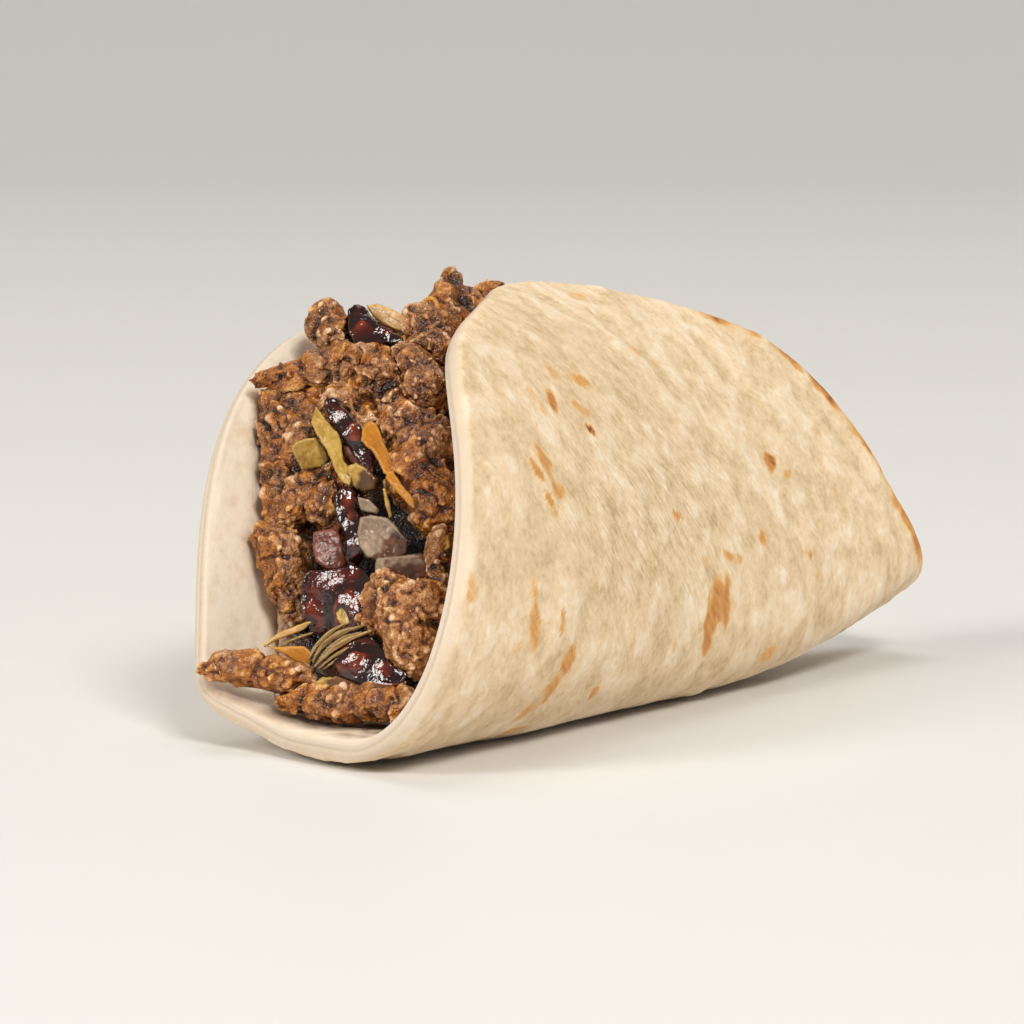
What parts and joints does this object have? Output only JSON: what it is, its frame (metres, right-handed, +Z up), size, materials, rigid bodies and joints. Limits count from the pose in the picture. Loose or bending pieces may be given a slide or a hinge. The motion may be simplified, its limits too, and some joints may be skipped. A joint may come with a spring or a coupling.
{
  "type": "smash taco",
  "caption": "Smash taco: a round flour tortilla folded over seared crumbled beef, with diced onion, pickle, cheese shreds and dark glossy sauce showing at its open mouth.",
  "frame": {"origin": "middle of the taco's box at the height of its flat underside", "axes": "+X along the fold from the open mouth to the closed tip, +Z up, and -Y towards the toasted wall that curls over the filling"},
  "size_m": [0.1582, 0.0622, 0.0639],
  "materials": {
    "tortilla": "soft matte flour tortilla, floury cream with orange-brown toast spots and fine stretch wrinkles",
    "beef": "crumbled seared beef, dark brown with tan highlights and a greasy gloss",
    "pale_beef": "less browned crumbled beef, tan brown with a greasy gloss",
    "cheese": "yellow-orange melted cheese, satin",
    "onion": "cooked onion, greyish translucent look, wet",
    "red_onion": "red onion, dull purple pink, wet",
    "pickle": "pickled gherkin, yellow-green, wet",
    "sauce": "dark red-brown sauce, very glossy"
  },
  "bodies": {
    "root": {"beef_arm": "beef", "beef_bottom_row": "beef", "beef_core": "beef", "beef_crisp_front": "beef", "beef_lower_right": "beef", "beef_mid_crumble": "beef", "beef_nugget": "pale_beef", "beef_ridge": "beef", "beef_right_crumble": "beef", "beef_right_slice": "beef", "beef_slab": "beef", "beef_spire": "beef", "beef_tongue": "beef", "beef_top_chunk": "beef", "beef_upper_crumble": "beef", "cheese_curl": "cheese", "cheese_flap": "cheese", "cheese_strip_lower": "cheese", "cheese_strip_upper": "cheese", "onion_flap": "onion", "onion_large": "onion", "onion_lower": "onion", "onion_purple": "red_onion", "onion_shard": "onion", "onion_small": "red_onion", "onion_strand": "onion", "pickle_bit": "pickle", "pickle_chip": "pickle", "pickle_sliver": "pickle", "pickle_strand_long": "pickle", "pickle_strand_low": "pickle", "pickle_tip": "pickle", "pickle_wedge": "pickle", "sauce_main": "sauce", "sauce_pool": "sauce", "sauce_run": "sauce", "sauce_streak": "sauce", "sauce_top": "sauce", "tortilla": "tortilla"}
  },
  "joints": []
}
